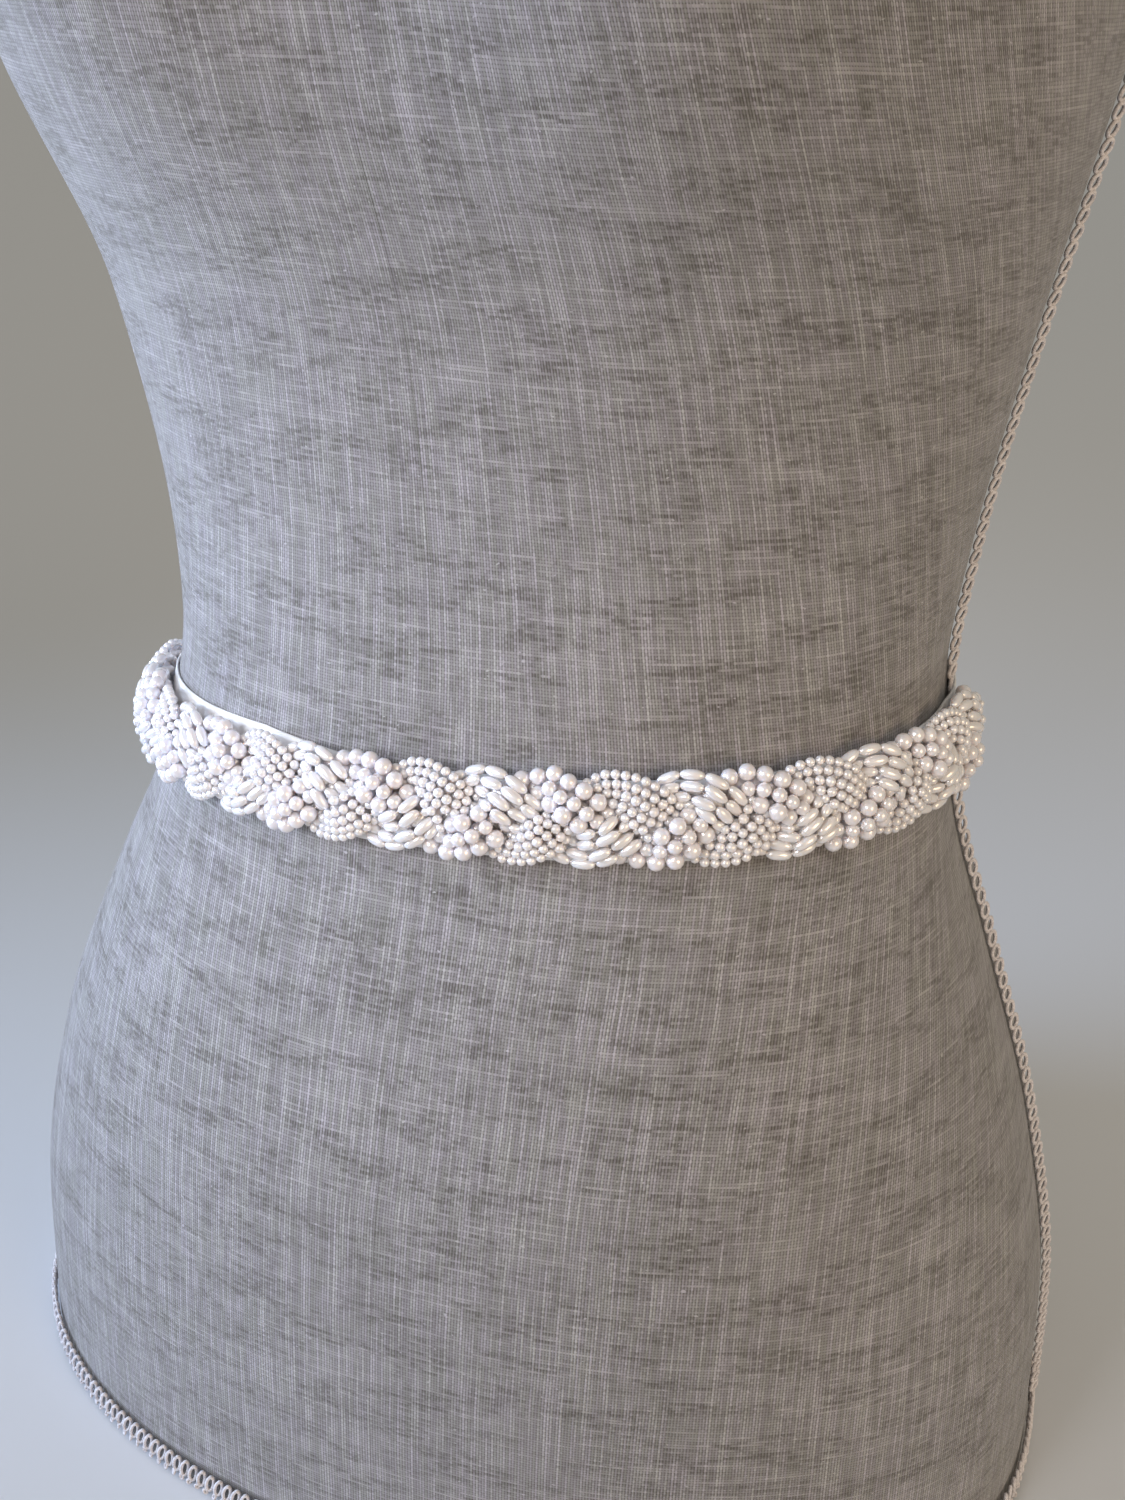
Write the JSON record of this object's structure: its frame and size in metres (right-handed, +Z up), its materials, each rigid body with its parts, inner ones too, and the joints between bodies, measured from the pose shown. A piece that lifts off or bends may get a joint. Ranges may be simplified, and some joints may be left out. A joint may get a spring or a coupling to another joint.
{
  "type": "bridal sash on a limbless dress form",
  "caption": "Plaited pearl bridal sash on a satin ribbon, lapped round the waist of a limbless linen-covered dress form that stands on its flat base.",
  "frame": {"origin": "centre of the bounding box at the base that the form stands on", "axes": "+Z up the form from its flat base to the neck, -Y out of its front, +X to the wearer's left"},
  "size_m": [0.3262, 0.2452, 0.7],
  "materials": {
    "linen": "slubby warm grey plain-weave linen, matte",
    "chain_crochet": "off-white crochet chain of cotton thread",
    "satin": "white single-face satin, soft sheen",
    "oat_pearl": "ivory pearlised plastic, glossy, rice-shaped",
    "large_pearl": "ivory pearlised plastic with a pink tint, glossy, large and round",
    "small_pearl": "ivory pearlised plastic, glossy, small and round"
  },
  "bodies": {
    "root": {"dress_form": "linen", "seam_trim_left": "chain_crochet", "seam_trim_right": "chain_crochet", "hem_trim": "chain_crochet", "ribbon": "satin", "oat_pearl_bundle": "oat_pearl", "large_pearl_bundle": "large_pearl", "small_pearl_bundle": "small_pearl"}
  },
  "joints": []
}
